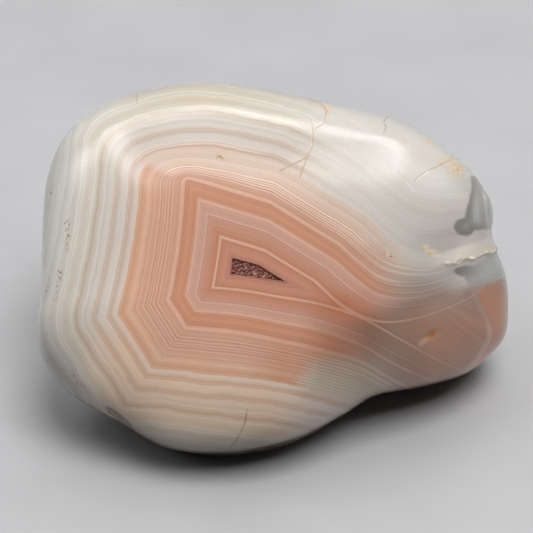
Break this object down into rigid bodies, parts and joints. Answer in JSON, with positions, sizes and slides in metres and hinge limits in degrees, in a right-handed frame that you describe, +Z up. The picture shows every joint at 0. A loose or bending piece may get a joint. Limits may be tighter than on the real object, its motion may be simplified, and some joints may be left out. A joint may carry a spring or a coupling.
{
  "type": "agate stone",
  "caption": "Tumbled, polished banded agate with salmon and grey-white fortification bands, a lobed end and a small open pocket lined with dark druzy quartz.",
  "frame": {"origin": "on the resting surface, under the middle of the stone's box", "axes": "+Z up from the resting surface, +X along the stone's length towards its lobed end, -Y towards the side with the banded face"},
  "size_m": [0.0477, 0.0315, 0.036],
  "materials": {
    "banded_agate": "polished",
    "druzy_quartz": "sparkling crystal points"
  },
  "bodies": {
    "root": {"agate_stone": "banded_agate", "druzy_crust": "druzy_quartz"}
  },
  "joints": []
}
